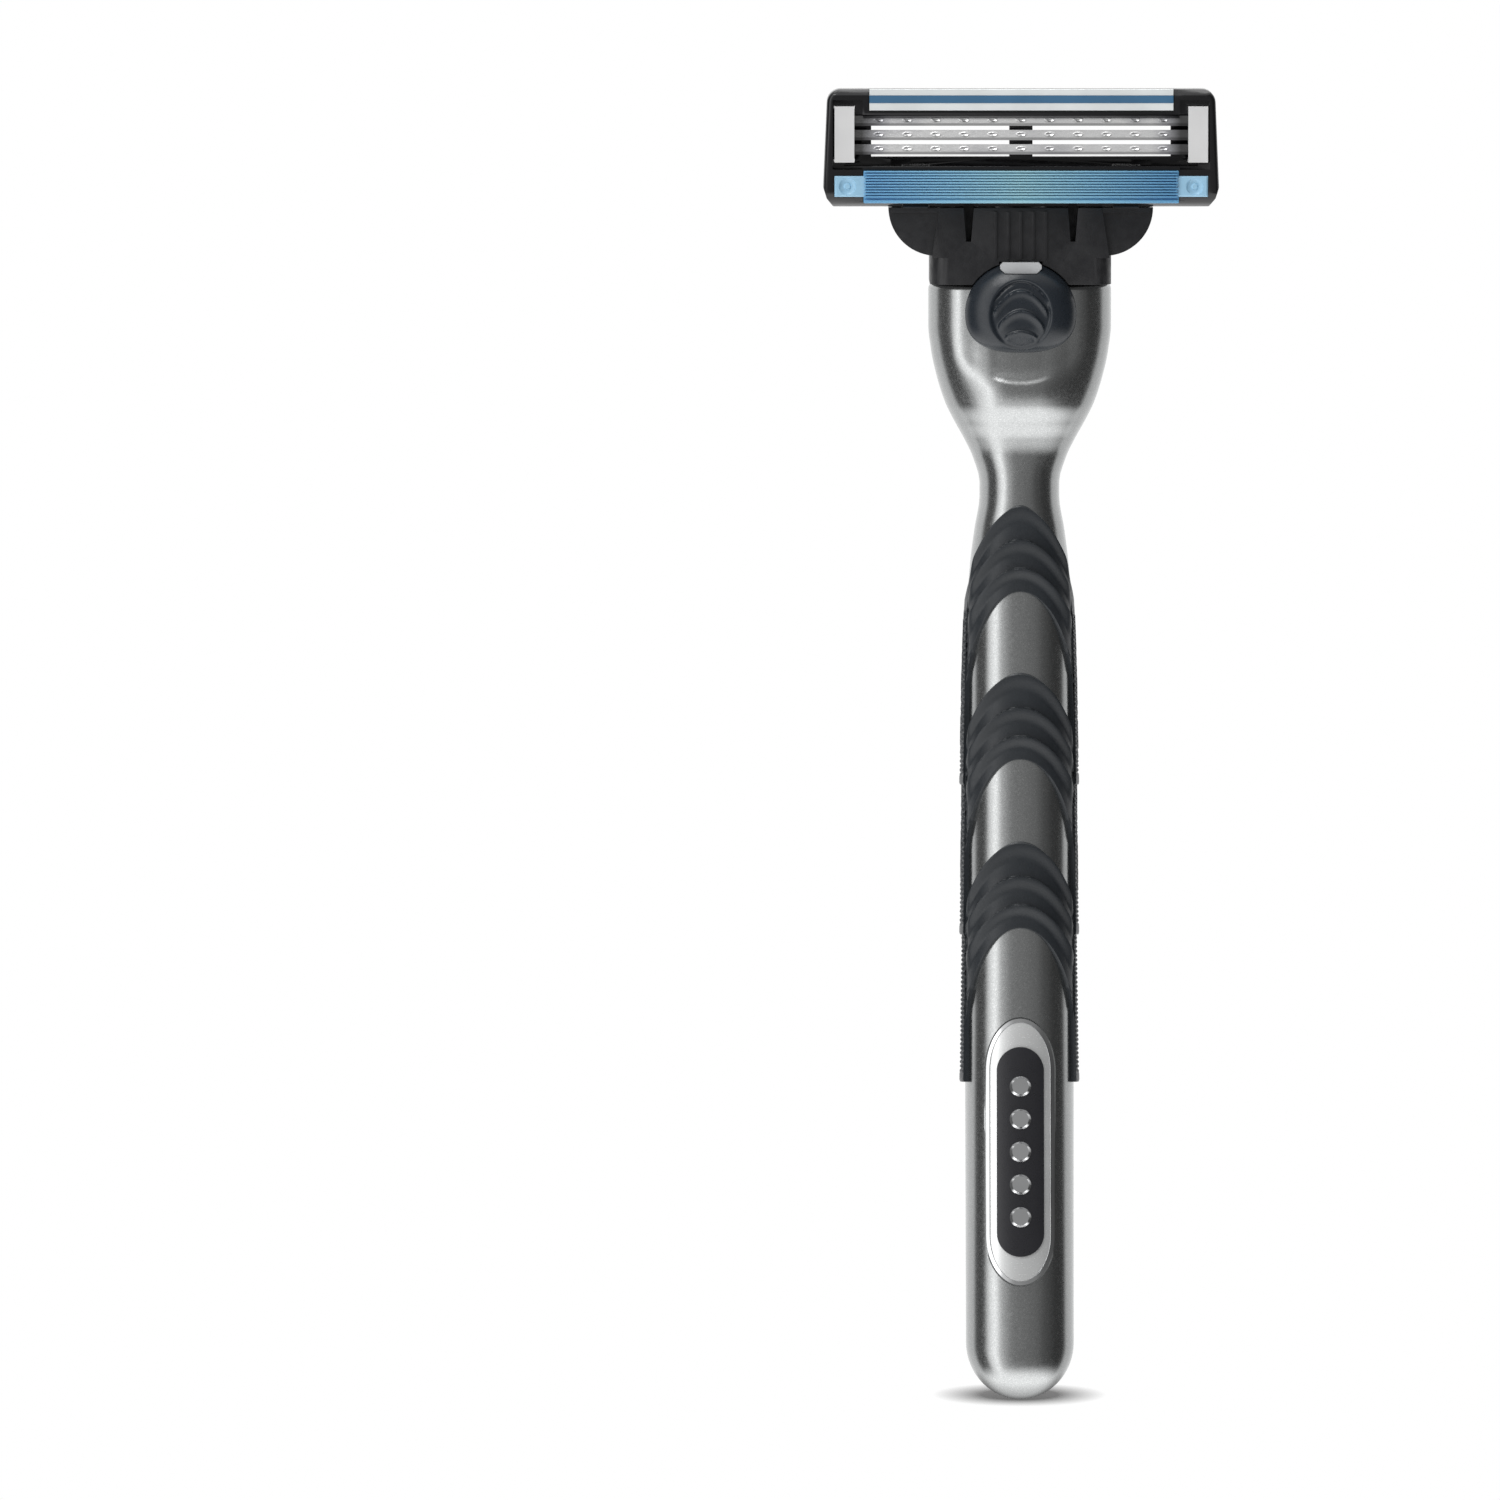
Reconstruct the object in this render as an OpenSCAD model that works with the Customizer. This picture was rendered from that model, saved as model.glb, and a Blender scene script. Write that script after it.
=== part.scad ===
// Cartridge razor: a metal handle with rubber grips, and a pivoting three-blade unit that an
// ejector button pushes off the handle. Z runs up the handle, X is the width, -Y is the shaving
// side. The origin is the lowest point of the handle's end.

/* [Handle] */
// Height of the docking face, where the cartridge's connector meets the handle
dock_z = 116; // [110:1:120]
// Forward lean of the head and the cartridge, in degrees
head_tilt = 5; // [0:1:8]
// How fast the handle leans back as it leaves the end
tail_slope = 0.16; // [0:0.02:0.2]
// Half width of the bare metal along the grip
metal_w = 5.65; // [5.3:0.05:6]
// Half depth of the bare metal along the grip
metal_d = 5.7; // [5.2:0.1:6]
// Half width of the metal head
head_w = 9.5; // [9.3:0.1:10]
// Half depth of the metal head
head_d = 6.4; // [6.2:0.1:6.8]
// Half width of the neck at its narrowest
neck_w = 4.15; // [3.9:0.05:4.6]

/* [Grips] */
// Thickness of a grip's upper edge over the metal
grip_thin = 0.2; // [0.15:0.05:0.3]
// Thickness of a grip's lower edge over the metal
grip_thick = 0.6; // [0.45:0.05:0.7]
// Height from a grip's upper tip to the top of its window
grip_brow = 9; // [7:0.5:10]

/* [Button] */
// Travel of the ejector button and of the connector it pushes
eject_stroke = 5; // [4:0.5:5]
// Half width of the button
button_w = 5.75; // [5.2:0.05:6]
// Top of the button above the docking face
button_top = 2.5; // [2.2:0.1:2.6]
// Bottom of the button below the docking face
button_bottom = 6.9; // [6.5:0.1:7.2]

/* [Cartridge] */
// Width of the blade unit
unit_w = 41; // [40:0.5:42]
// Height of the blade unit, from its lower rim to its top
unit_h = 12.2; // [12:0.1:12.6]
// Height of the lower rim over the docking face
rim_z = 8.25; // [8.2:0.05:8.6]
// Depth of the housing
housing_d = 4.1; // [4:0.05:4.3]
// How far the blade unit pivots back, in degrees
pivot_travel = 40; // [30:1:40]
// Distance between two blades
blade_pitch = 1.48; // [1.4:0.02:1.55]
// Length of a blade
blade_l = 36.4; // [35:0.2:36.4]
// Number of fins on the guard
fin_count = 10; // [6:1:11]

/* [Badge] */
// Length of the badge on the handle
badge_l = 27.7; // [24:0.1:28]
// Width of the badge
badge_w = 7.1; // [6:0.1:7.4]
// Height of the badge's middle over the handle's end
badge_z = 25.15; // [24:0.1:26]

/* [Hidden] */

tiny = 0.01;        // overlap that makes one solid of two pieces in the same node
gap = 0.05;         // clearance between pieces that sit in each other
run = 0.05;         // radial clearance of the pivot
sides = 40;         // points round a section of the handle
ring_step = 4;      // height between the rings of the grip's metal

// --- spine and sections of the handle

spine_end = 100;                            // the spine is straight above this height
head_slope = -tan(head_tilt);
spine_bend = (head_slope - tail_slope) / (2 * spine_end);
spine_end_y = tail_slope * spine_end + spine_bend * spine_end * spine_end;
tilt_from = 94;
tilt_to = 104;

function spine_y(z) =
    z < spine_end ? tail_slope * z + spine_bend * z * z : spine_end_y + head_slope * (z - spine_end);
function ease(t) = let (s = max(0, min(1, t))) s * s * (3 - 2 * s);
function section_tilt(z) = head_tilt * ease((z - tilt_from) / (tilt_to - tilt_from));
function power(v, p) = sign(v) * pow(abs(v), p);

// a section is a rounded oval with half width w and half depth d; e sets how square it is
function section(z, w, d, e) = [
    for (i = [0:sides - 1])
        let (
            a = 360 * i / sides,
            y = d * power(sin(a), 2 / e),
            t = section_tilt(z)
        )
            [w * power(cos(a), 2 / e), spine_y(z) + y * cos(t), z + y * sin(t)]
];

// height, half width, half depth and squareness of the metal, above its rounded end
end_h = 5.9;
end_w = 5.6;
end_d = 5.15;
metal = [
    [end_h, end_w, end_d, 2.2],
    [20, 5.62, 5.45, 2.3],
    [34, metal_w, metal_d, 2.3],
    [50, metal_w, metal_d + 0.3, 2.3],
    [64, metal_w, metal_d + 0.4, 2.3],
    [74, 5.6, metal_d + 0.2, 2.3],
    [81.7, 5.45, 5.6, 2.3],
    [86.6, 5.15, 5.25, 2.3],
    [90.3, 4.7, 4.95, 2.3],
    [93.9, neck_w, 4.7, 2.2],
    [95.3, neck_w, 4.7, 2.2],
    [97.9, 4.85, 4.9, 2.2],
    [99.9, 5.8, 5.4, 2.2],
    [101.6, 6.75, 6, 2.2],
    [103.6, 7.74, 6.35, 2.25],
    [106.1, 8.56, 6.3, 2.3],
    [108.9, 9.19, head_d, 2.3],
    [111.7, head_w, head_d, 2.3],
    [115.2, head_w, head_d, 2.3],
    [dock_z, head_w - 0.7, head_d - 0.6, 2.3],
];
grip_top = 90;      // the metal's rings are evenly spaced below this height

function lookup_metal(z, k) = lookup(z, [for (m = metal) [m[0], m[k]]]);
function metal_ring(z) = section(z, lookup_metal(z, 1), lookup_metal(z, 2), lookup_metal(z, 3));
function end_ring(a) = section(end_h * (1 - cos(a)), end_w * sin(a), end_d * sin(a), metal[0][3]);
metal_rings = concat(
    [for (a = [4, 20, 36, 52, 68]) end_ring(a)],
    [for (z = [end_h:ring_step:grip_top - ring_step]) metal_ring(z)],
    [for (m = metal) if (m[0] > grip_top) metal_ring(m[0])]
);

// a closed solid through rings of equal length
module loft(rings) {
    n = len(rings[0]);
    last = len(rings) - 1;
    points = [for (r = rings) each r];
    walls = [
        for (k = [0:last - 1], i = [0:n - 1])
            let (a = k * n + i, b = k * n + (i + 1) % n)
                each [[a, b, b + n], [a, b + n, a + n]]
    ];
    bottom = [for (i = [n - 1:-1:0]) i];
    top = [for (i = [0:n - 1]) last * n + i];
    polyhedron(points, concat(walls, [bottom, top]), convexity = 6);
}

// everything inside becomes one mesh
module as_mesh() {
    resize([0, 0, 0]) children();
}

module in_head() {
    translate([0, spine_y(dock_z), dock_z]) rotate([head_tilt, 0, 0]) children();
}

// extrudes an outline drawn in X and Z from y = back to y = front
module along_y(front, back) {
    translate([0, back, 0]) rotate([90, 0, 0]) linear_extrude(back - front) children();
}

// extrudes an outline drawn in Y and Z between two values of X
module along_x(from, to) {
    translate([from, 0, 0]) rotate([90, 0, 90]) linear_extrude(to - from) children();
}

module block(x0, x1, y0, y1, z0, z1) {
    translate([x0, y0, z0]) cube([x1 - x0, y1 - y0, z1 - z0]);
}

module both_sides() {
    children();
    mirror([1, 0, 0]) children();
}

// --- the head's insides, in the docking frame: Z along the docking axis, 0 at the docking face

nose_w = 6.2;       // half width of the nose that the connector slips onto
nose_d = 3.3;
nose_h = 5.15;
insert_w = 5.75;    // half width of the nose's root, inside the metal
insert_front = -3.9;
insert_back = 3.6;
insert_bottom = -13;
plunger_y = -0.6;
plunger_r = 1.5;
plunger_top = 9.73;
flange_r = 2.3;
flange_z = -1.2;
flange_t = 0.8;
chamber_r = 2.45;
chamber_top = flange_z + flange_t + 0.25;
spring_bottom = -12.2;
side_spring_x = 4.2;
side_spring_y = -2;
side_spring_r = 1;
side_bore_r = 1.2;
side_spring_top = -1;
finger_top = -9.8;
finger_t = 1.2;
finger_bottom = finger_top - finger_t;
bar_w = side_spring_x + 0.5;
bar_front = -4.7;
stem_w = 1.8;
stem_bottom = -5.5;
stem_top = -3;
plate_front = -5.1;
plate_back = -4.2;
plate_w = 3;
tongue_w = 2.15;
tongue_front = -7.5;
tongue_bottom = 1.35;
wall_front = -5.25;  // inside face of the metal head's front wall

module rounded_slab(w, d, h) {
    linear_extrude(h) union() {
        square([2 * (w - d), 2 * d], center = true);
        translate([w - d, 0]) circle(d, $fn = 48);
        translate([d - w, 0]) circle(d, $fn = 48);
    }
}

module handle_shell() {
    color([0.62, 0.63, 0.62])
        as_mesh() difference() {
            loft([for (k = [len(metal_rings) - 1:-1:0]) metal_rings[k]]);
            in_head() {
                block(-insert_w - gap, insert_w + gap, insert_front - gap, insert_back + gap,
                    insert_bottom - gap, 2);
                block(-plate_w - 0.2, plate_w + 0.2, wall_front, 0, finger_bottom - 0.3, 2);
                block(-bar_w - 0.2, bar_w + 0.2, bar_front - 0.15, 0,
                    finger_bottom - 0.3, finger_top + eject_stroke + 0.3);
                block(-stem_w - 0.2, stem_w + 0.2, -9, 0, stem_bottom - 0.3, 2);
                button_seat();
            }
            in_badge() along_y(-12, badge_back) badge_outline(-gap);
        }
}

// a shallow dish in the metal under the button, open at the docking face
seat_y = -6.05;
seat_drop = 3.3;
module button_seat() {
    along_y(-9, seat_y) {
        translate([0, -button_bottom + button_w - seat_drop + 0.6]) circle(button_w + 0.5, $fn = 40);
        translate([-button_w - 0.4, -2.4]) square([2 * button_w + 0.8, 4.5]);
    }
}

// --- grips

// of each grip: its upper tip, its upper edge at the sides and back, its lower end, and the upper
// tip of the next grip down
grip_upper_z = [92.8, 80, 63.8, 75.4];
grip_middle_z = [75.4, 63.75, 48.2, 57.9];
grip_lower_z = [57.9, 48.15, 32.9, 0];
grip_lift = 0.04;   // clearance between a grip and the metal
grip_rows = 7;
arch_w = 5.8;       // half width and drop of the arched upper edge
arch_h = 12.6;
pane_h = 11;
pane_w = 5.3;       // half width and drop of the arched window below it

// how far an arch of half width w and drop h has fallen at x
function arch_drop(x, w, h) = abs(x) < w ? h * (1 - sqrt(1 - x * x / (w * w))) : 200;
function grip_arch(tip, x) = tip - arch_drop(x, arch_w, arch_h);
function grip_upper_edge(zs, x, front) = front ? max(zs[1], grip_arch(zs[0], x)) : zs[1];
function grip_lower_edge(zs, x, front) =
    front
        ? max(zs[2], zs[0] - grip_brow - arch_drop(x, pane_w, pane_h), grip_arch(zs[3], x) + gap)
        : zs[2];

// the point of the handle's surface at angle a and height z, moved out by over
function skin_point(a, z, over) =
    let (e = lookup_metal(z, 3), w = lookup_metal(z, 1) + over, d = lookup_metal(z, 2) + over)
        [w * power(cos(a), 2 / e), spine_y(z) + d * power(sin(a), 2 / e), z];

function grip_thickness(zs, z) = grip_thick - (grip_thick - grip_thin) * (z - zs[2]) / (zs[0] - zs[2]);

// one slice of a grip at angle a: its outer rows going up, then its inner rows going down
function grip_column(zs, a) =
    let (
        x = metal_w * power(cos(a), 0.87),
        front = sin(a) < 0,
        low = grip_lower_edge(zs, x, front),
        high = grip_upper_edge(zs, x, front)
    )
        concat(
            [
                for (k = [0:grip_rows - 1])
                    let (z = low + (high - low) * k / (grip_rows - 1))
                        skin_point(a, z, grip_thickness(zs, z))
            ],
            [
                for (k = [grip_rows - 1:-1:0])
                    skin_point(a, low + (high - low) * k / (grip_rows - 1), grip_lift)
            ]
        );

// a closed ring of slices that run round the handle
module ring_of(columns) {
    n = len(columns[0]);
    m = len(columns);
    polyhedron(
        [for (c = columns) each c],
        [
            for (j = [0:m - 1], i = [0:n - 1])
                let (
                    next = (i + 1) % n,
                    here = j * n,
                    there = ((j + 1) % m) * n
                )
                    each [[here + i, here + next, there + next], [here + i, there + next, there + i]]
        ],
        convexity = 8
    );
}

grip_slices = 48;
module grip(zs) {
    color([0.13, 0.14, 0.16])
        ring_of([for (j = [0:grip_slices - 1]) grip_column(zs, 360 * (j + 0.5) / grip_slices)]);
}

// --- badge: a long oval let into the front of the handle

badge_front = -5.95;    // crown of the badge's rounded front
badge_back = -4.3;
badge_round = 6.6;      // radius of that front
badge_end = 5.3;        // height of the badge's elliptical ends
bezel_rim = 0.35;
plate_sink = 0.1;       // how far the plate lies below the bezel
plate_floor = 0.35;
inlay_rise = 0.05;
inlay_w = 2.45;
inlay_l = 10.9;
pip_count = 5;
pip_pitch = 3.4;

// straight sides with half an ellipse at each end; inset draws it smaller all round
module badge_outline(inset) {
    w = badge_w / 2 - inset;
    e = badge_end - inset;
    l = badge_l / 2 - badge_end;
    square([2 * w, 2 * l], center = true);
    for (end = [-l, l])
        translate([0, end]) scale([1, e / w]) circle(w, $fn = 72);
}

module in_badge() {
    y = spine_y(badge_z);
    lean = -atan(tail_slope + 2 * spine_bend * badge_z);
    translate([0, y, badge_z]) rotate([lean, 0, 0]) children();
}

// the space inside the badge's rounded front, once that is moved in by sink
module badge_core(sink) {
    translate([0, badge_front + badge_round, -20]) cylinder(r = badge_round - sink, h = 40, $fn = 180);
}

module badge_bezel() {
    color([0.85, 0.86, 0.87])
        in_badge() difference() {
            intersection() {
                along_y(-12, badge_back - gap) badge_outline(0);
                badge_core(0);
            }
            difference() {
                along_y(-12, badge_back + 1) badge_outline(bezel_rim);
                badge_core(plate_floor);
            }
        }
}

module badge_plate() {
    color([0.75, 0.76, 0.77])
        in_badge() difference() {
            intersection() {
                along_y(-12, badge_back) badge_outline(bezel_rim + gap);
                badge_core(plate_sink);
            }
            badge_core(plate_floor - tiny);
        }
}

module stadium(w, l) {
    translate([-w, w - l]) square([2 * w, 2 * (l - w)]);
    translate([0, l - w]) circle(w, $fn = 48);
    translate([0, w - l]) circle(w, $fn = 48);
}

module badge_inlay() {
    color([0.1, 0.1, 0.11])
        in_badge() difference() {
            intersection() {
                along_y(-12, badge_back) stadium(inlay_w, inlay_l);
                badge_core(-inlay_rise);
            }
            badge_core(plate_sink - tiny);
        }
}

module badge_emblem() {
    color([0.9, 0.9, 0.9])
        in_badge() difference() {
            for (k = [0:pip_count - 1])
                translate([0, badge_front + 0.2, (k - (pip_count - 1) / 2) * pip_pitch])
                    rotate([90, 0, 0]) cylinder(r1 = 1.25, r2 = 0.85, h = 0.5, $fn = 32);
            badge_core(-inlay_rise - tiny);
        }
}

// --- docking nose, ejector and plunger

module docking_nose() {
    color([0.2, 0.2, 0.22])
        in_head() difference() {
            union() {
                rounded_slab(nose_w, nose_d, nose_h);
                block(-insert_w, insert_w, insert_front, insert_back, insert_bottom, tiny);
            }
            translate([0, plunger_y, chamber_top - gap]) cylinder(r = plunger_r + gap, h = 9, $fn = 48);
            translate([0, plunger_y, spring_bottom])
                cylinder(r = chamber_r, h = chamber_top - spring_bottom, $fn = 48);
            both_sides() {
                translate([side_spring_x, side_spring_y, insert_bottom - 1])
                    cylinder(r = side_bore_r, h = side_spring_top + 0.1 - insert_bottom + 1, $fn = 48);
                block(side_spring_x - 0.6, side_spring_x + 0.6, insert_front - 1, side_spring_y,
                    insert_bottom - 1, finger_top + eject_stroke + 0.3);
            }
        }
}

// the grey slider: a plate behind the metal's front wall, with the tongue that pushes the
// connector, a stem that carries the button and two fingers under the side springs
module ejector_fork() {
    color([0.72, 0.73, 0.74])
        in_head() {
            block(-plate_w, plate_w, plate_front, plate_back, finger_bottom, tongue_bottom + 0.1);
            along_y(tongue_front, plate_back) tongue_outline(0);
            block(-stem_w, stem_w, core_back - gap, plate_front + 0.1, stem_bottom, stem_top);
            block(-bar_w, bar_w, bar_front, plate_back, finger_bottom, finger_top);
            both_sides() {
                block(side_spring_x - 0.5, side_spring_x + 0.5, plate_back - tiny, side_spring_y,
                    finger_bottom, finger_top);
                translate([side_spring_x, side_spring_y, finger_bottom])
                    cylinder(r = side_spring_r, h = finger_t, $fn = 32);
            }
        }
}

// the tongue has slanted corners; grow draws it larger all round
module tongue_outline(grow) {
    offset(delta = grow)
        polygon([
            [0.5 - tongue_w, tongue_bottom], [tongue_w - 0.5, tongue_bottom],
            [tongue_w, tongue_bottom + 0.5],
            [tongue_w, button_top - 0.3], [tongue_w - 0.3, button_top],
            [0.3 - tongue_w, button_top], [-tongue_w, button_top - 0.3],
            [-tongue_w, tongue_bottom + 0.5],
        ]);
}

// egg-shaped ring of the button: an ellipse above its widest line and a squarer oval below it,
// scaled by k and then drawn smaller all round by inset
egg_points = 36;
egg_z = -2.7;
egg_square = 2.6;
function egg(k, y, inset) = [
    for (i = [0:egg_points - 1])
        let (
            a = 360 * i / egg_points,
            e = a > 180 ? 2 / egg_square : 1,
            w = (button_w - inset) * k,
            h = ((a > 180 ? button_bottom + egg_z : button_top - egg_z) - inset) * k
        )
            [-w * power(cos(a), e), y, egg_z + h * power(sin(a), e)]
];

core_back = -6.65;
core_front = -7.2;
pad_front = -8.9;

module tongue_notch() {
    along_y(-12, -4) {
        tongue_outline(gap);
        translate([-tongue_w - gap, button_top - 0.4]) square([2 * (tongue_w + gap), 3]);
    }
}

module ejector_button() {
    color([0.16, 0.17, 0.19])
        in_head() difference() {
            loft([egg(1, core_back, 1), egg(1, core_front, 1.2)]);
            tongue_notch();
            block(-stem_w - gap, stem_w + gap, core_back - 0.1, core_back + 1,
                stem_bottom - gap, stem_top + gap);
        }
}

module button_pad() {
    color([0.11, 0.13, 0.16])
        in_head() as_mesh() difference() {
            loft([
                egg(0.985, core_back, 0),
                egg(1, core_back - 0.35, 0),
                egg(0.97, core_back - 0.9, 0),
                egg(0.86, core_back - 1.5, 0),
                egg(0.68, core_back - 1.95, 0),
                egg(0.42, pad_front + 0.08, 0),
                egg(0.2, pad_front, 0),
            ]);
            loft([egg(1, core_back + 1, 1 - gap), egg(1, core_front - gap, 1.2 - gap)]);
            tongue_notch();
        }
}

module coil(r, wire, from, to, turns) {
    steps = 16;
    h = to - from - 2 * wire;
    n = turns * steps;
    loft([
        for (k = [0:n])
            let (a = 360 * k / steps, z = from + wire + h * k / n)
                [
                    for (b = [0:60:300])
                        let (q = r - wire + wire * cos(b)) [q * cos(a), q * sin(a), z + wire * sin(b)]
                ]
    ]);
}

module button_springs() {
    color([0.6, 0.6, 0.6])
        in_head() both_sides() translate([side_spring_x, side_spring_y, 0])
            coil(side_spring_r, 0.14, finger_top + 0.02, side_spring_top, 7);
}

module plunger() {
    color([0.2, 0.2, 0.22])
        in_head() translate([0, plunger_y, 0]) {
            translate([0, 0, -4]) cylinder(r = plunger_r, h = plunger_top - 0.5 + 4, $fn = 48);
            translate([0, 0, plunger_top - 0.5 - tiny])
                cylinder(r1 = plunger_r, r2 = plunger_r - 0.4, h = 0.5, $fn = 48);
            translate([0, 0, flange_z]) cylinder(r = flange_r, h = flange_t, $fn = 48);
        }
}

module plunger_spring() {
    color([0.6, 0.6, 0.6])
        in_head() translate([0, plunger_y, 0])
            coil(flange_r, 0.2, spring_bottom + 0.02, flange_z - 0.02, 7);
}

// --- cartridge, in the docking frame

face_y = -8.45;                         // front of the housing
back_y = face_y + housing_d;
pivot_r = housing_d / 2;                // the lower rim is round about the pivot
pivot_y = face_y + pivot_r;
pivot_z = rim_z + pivot_r;
unit_top = rim_z + unit_h;
journal_r = 1.25;                       // bar that the connector's hooks hold
hook_in = journal_r + run;
hook_out = 2.25;
hook_x = [9.6, 12.2];
hook_from = -110;
hook_to = 75;
foot_w = 2.3;
foot_end = 0.2;
foot_bottom = 9.8;
foot_top = 12.2;

// a slice of a disc about the pivot, in Y and Z, from angle a to angle b
module slice(r, a, b) {
    intersection() {
        translate([pivot_y, pivot_z]) circle(r, $fn = 64);
        translate([pivot_y, pivot_z])
            polygon([[0, 0], for (k = [0:6]) let (q = a + (b - a) * k / 6) [9 * cos(q), 9 * sin(q)]]);
    }
}

collar_w = 9.4;
collar_front = -6.5;
collar_back = 5.8;
collar_bottom = 0.12;
collar_top = 3.4;
block_top_w = 8.4;
yoke_back = -2.6;
wing_r = 5;
wing_x = 8.7;
wing_front = -5.9;
lip_w = 13.4;
lip_h = 1.05;
rib_pitch = 1.3;
rib_w = 0.3;
slot_x = 5.4;

module collar_outline() {
    e = 2;
    translate([-collar_w + e, collar_front]) square([2 * (collar_w - e), collar_back - collar_front]);
    translate([-collar_w, collar_front + e]) square([2 * collar_w, collar_back - collar_front - 2 * e]);
    for (x = [e - collar_w, collar_w - e], y = [collar_front + e, collar_back - e])
        translate([x, y]) circle(e, $fn = 48);
}

module connecting_member() {
    rise = rim_z - 0.15;
    color([0.07, 0.07, 0.08])
        in_head() {
            difference() {
                union() {
                    translate([0, 0, collar_bottom])
                        linear_extrude(collar_top - collar_bottom) collar_outline();
                    along_y(collar_front, yoke_back)
                        polygon([
                            [-9.2, collar_top - 0.5], [9.2, collar_top - 0.5],
                            [block_top_w, rise], [-block_top_w, rise],
                        ]);
                    both_sides() intersection() {
                        along_y(wing_front, yoke_back)
                            translate([wing_x, rise]) circle(wing_r, $fn = 96);
                        block(block_top_w - 1, 20, -20, 20, collar_top - 0.5, rise);
                    }
                    // lip behind the lower rim
                    block(-lip_w, lip_w, pivot_y, yoke_back, rise - 0.5, rim_z + lip_h);
                    along_y(yoke_back - tiny, collar_back - 1.2)
                        polygon([
                            [-7.5, collar_top - 0.5], [7.5, collar_top - 0.5],
                            [6.4, nose_h + 1.1], [-6.4, nose_h + 1.1],
                        ]);
                    both_sides() block(hook_x[0], hook_x[1], -4, yoke_back, rise - 1, pivot_z - 1.1);
                    for (x = [-2 * rib_pitch:rib_pitch:2 * rib_pitch])
                        block(x - rib_w / 2, x + rib_w / 2, collar_front - 0.15, collar_front + tiny,
                            button_top + 0.3, rise - 0.4);
                }
                // room for the lower rim
                along_x(-20, 20) translate([pivot_y, pivot_z]) circle(pivot_r + 0.12, $fn = 64);
                // socket for the nose
                translate([0, 0, -1]) rounded_slab(nose_w + 0.08, nose_d + 0.08, nose_h + 1.1);
                // room for the slider and its tongue, and for the button in front
                block(-plate_w - 0.2, plate_w + 0.2, plate_front - 0.2, -3, -1, button_top + gap);
                block(-tongue_w - 0.1, tongue_w + 0.1, -12, -3, -1, button_top + gap);
                along_y(-12, collar_front + 1.2) button_arch();
                // opening for the plunger and the cam foot
                block(-foot_w - 0.3, foot_w + 0.3, -4.6, collar_back - 2.4, nose_h - 1, 20);
                block(-foot_w - 0.3, foot_w + 0.3, -5.35, -4, rim_z - 0.25, 20);
                // two slots in the front
                for (x = [-slot_x, slot_x])
                    along_y(-12, yoke_back - 1.4)
                        polygon([[x - 0.25, 4.6], [x + 0.25, 4.6], [x + 0.6, 9], [x - 0.6, 9]]);
            }
            both_sides() along_x(hook_x[0], hook_x[1]) difference() {
                union() {
                    slice(hook_out, hook_from, hook_to);
                    slice(4, -62, -16);
                }
                translate([pivot_y, pivot_z]) circle(hook_in, $fn = 64);
            }
        }
}

// where the button reaches up into the collar
module button_arch() {
    polygon([for (p = egg(1, 0, -0.15)) [p[0], p[2]]]);
}

blade_z = [for (k = [0:2]) unit_top - 3.25 - k * blade_pitch];  // middle of each blade's strip
strip_w = 15.7;
strip_h = 2.15;
clip_x = [17.26, 19.3];
clip_z = [rim_z + 4.65, rim_z + 10.45];
clip_t = 0.25;
window_x = [16.4, 19.5];
window_z = [rim_z + 3.9, rim_z + 11.1];
open_z = [rim_z + 4.25, unit_top - strip_h - 0.45];
through_z = [rim_z + 5.15, rim_z + 9.25];
tab_x = [11.4, 13.5];
tab_z = [rim_z + 4.35, rim_z + 4.85];
guard_z = [rim_z + 0.45, rim_z + 3.8];
guard_w = 16.3;
pad_x = [16.4, 19.3];
pad_z = [rim_z + 1.1, rim_z + 3.25];

module housing_outline() {
    top_w = unit_w / 2 - 0.4;
    low_w = unit_w / 2;
    r = 1.4;
    polygon([
        for (a = [0:15:90]) [top_w - r + r * cos(a), unit_top - r + r * sin(a)],
        for (a = [90:15:180]) [r - top_w + r * cos(a), unit_top - r + r * sin(a)],
        [-low_w, rim_z + 3], [0.05 - low_w, rim_z + 2], [0.4 - low_w, rim_z + 0.9],
        [1.1 - low_w, rim_z], [low_w - 1.1, rim_z],
        [low_w - 0.4, rim_z + 0.9], [low_w - 0.05, rim_z + 2], [low_w, rim_z + 3],
    ]);
}

module housing_profile() {
    translate([pivot_y, pivot_z]) circle(pivot_r, $fn = 64);
    polygon([
        [face_y, pivot_z], [back_y, pivot_z], [back_y, unit_top - 1.8],
        [back_y - 0.9, unit_top], [face_y + 0.6, unit_top], [face_y, unit_top - 0.6],
    ]);
}

module clip_band(grow) {
    difference() {
        block(clip_x[0] - grow, clip_x[1] + grow, face_y - 0.1 - grow, back_y + 0.1 + grow,
            clip_z[0] - grow, clip_z[1] + grow);
        block(clip_x[0] - 1, clip_x[1] + 1, face_y - 0.1 + clip_t + grow, back_y + 0.1 - clip_t - grow,
            clip_z[0] + clip_t + grow, clip_z[1] - clip_t - grow);
    }
}

module cartridge_housing() {
    color([0.05, 0.05, 0.06])
        in_head() {
            housing_body();
            // two small tabs on the shelf below the blades
            both_sides() block(tab_x[0], tab_x[1], face_y + 1.5, face_y + 2.3, tab_z[0], tab_z[1]);
        }
}

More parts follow.
